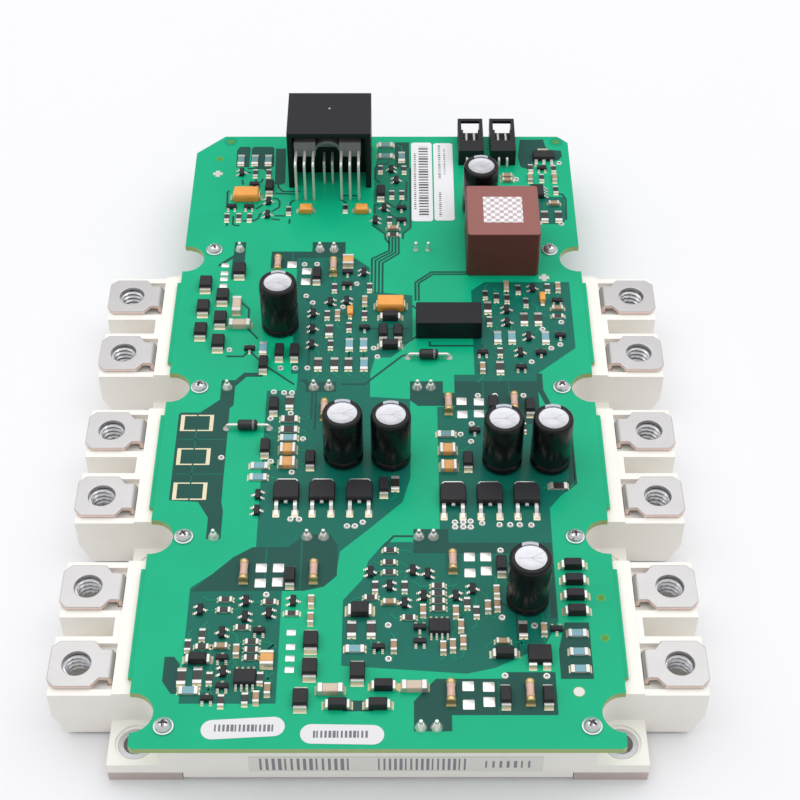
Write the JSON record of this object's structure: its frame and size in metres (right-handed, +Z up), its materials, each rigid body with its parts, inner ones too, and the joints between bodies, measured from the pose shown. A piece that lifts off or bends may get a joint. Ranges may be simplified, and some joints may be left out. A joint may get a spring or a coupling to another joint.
{
  "type": "igbt driver module",
  "caption": "Flat power module with side screw terminals and a green gate driver board on top, for switching a motor inverter's bridge.",
  "frame": {"origin": "centre of the base plate's underside, on the mounting surface", "axes": "+X across the module, +Y along the board towards its sockets, +Z up from the mounting surface"},
  "size_m": [0.15, 0.2161, 0.0377],
  "materials": {
    "base_metal": "nickel-plated copper, pinkish at its cut edge",
    "housing_plastic": "matt white moulded thermoset",
    "bush_metal": "dull pressed steel",
    "ceramic": "white ceramic with copper faces",
    "silicon": "polished silicon",
    "terminal_metal": "nickel-plated copper strip, pinkish cut edges",
    "nut_metal": "bright plated steel",
    "tin": "bright solder and tinned leads",
    "board_mask": "green solder mask over laminate",
    "screw_metal": "bright plated steel",
    "transformer_plastic": "brown potting compound",
    "black_plastic": "black moulded plastic",
    "grey_plastic": "grey moulded plastic",
    "can_metal": "drawn aluminium",
    "sleeve_plastic": "shrunk black sleeve",
    "tantalum_plastic": "amber moulded plastic",
    "epoxy_black": "black moulded epoxy",
    "resistor_top": "glassy coat over ceramic",
    "capacitor_ceramic": "tan fired ceramic",
    "melf_coat": "pinkish lacquer",
    "label_paper": "white paper label"
  },
  "bodies": {
    "root": {"base_plate": "base_metal", "housing_frame": "housing_plastic", "housing_lid": "housing_plastic", "mounting_bushes": "bush_metal", "substrates": "ceramic", "igbt_chips": "silicon", "diode_chips": "silicon", "terminal_nuts": "nut_metal", "gate_pins": "tin", "pin_solder": "tin", "circuit_board": "board_mask", "board_screws": "screw_metal", "transformer_block": "transformer_plastic", "transformer_pins": "tin", "coupler_block": "black_plastic", "coupler_pins": "tin", "main_socket_shell": "black_plastic", "main_socket_insert": "grey_plastic", "main_socket_pins": "tin", "latch_header_1": "black_plastic", "latch_header_2": "black_plastic", "latch_header_pins": "tin", "capacitor_sleeves": "sleeve_plastic", "capacitor_leads": "tin", "tantalum_bodies": "tantalum_plastic", "tantalum_contacts": "tin", "axial_diode_bodies": "epoxy_black", "axial_diode_leads": "tin", "power_transistor_bodies": "epoxy_black", "power_transistor_tabs": "tin", "rectifier_bodies": "epoxy_black", "rectifier_contacts": "tin", "transistor_bodies": "epoxy_black", "transistor_leads": "tin", "ic_bodies": "epoxy_black", "ic_leads": "tin", "chip_resistors": "resistor_top", "chip_capacitors": "capacitor_ceramic", "melf_resistors": "melf_coat", "chip_contacts": "tin", "labels": "label_paper", "power_terminal_1": "terminal_metal", "power_terminal_2": "terminal_metal", "power_terminal_3": "terminal_metal", "power_terminal_4": "terminal_metal", "power_terminal_5": "terminal_metal", "power_terminal_6": "terminal_metal", "power_terminal_7": "terminal_metal", "power_terminal_8": "terminal_metal", "power_terminal_9": "terminal_metal", "power_terminal_10": "terminal_metal", "power_terminal_11": "terminal_metal", "power_terminal_12": "terminal_metal", "capacitor_can_1": "can_metal", "capacitor_can_2": "can_metal", "capacitor_can_3": "can_metal", "capacitor_can_4": "can_metal", "capacitor_can_5": "can_metal", "capacitor_can_6": "can_metal", "capacitor_can_7": "can_metal"}
  },
  "joints": []
}
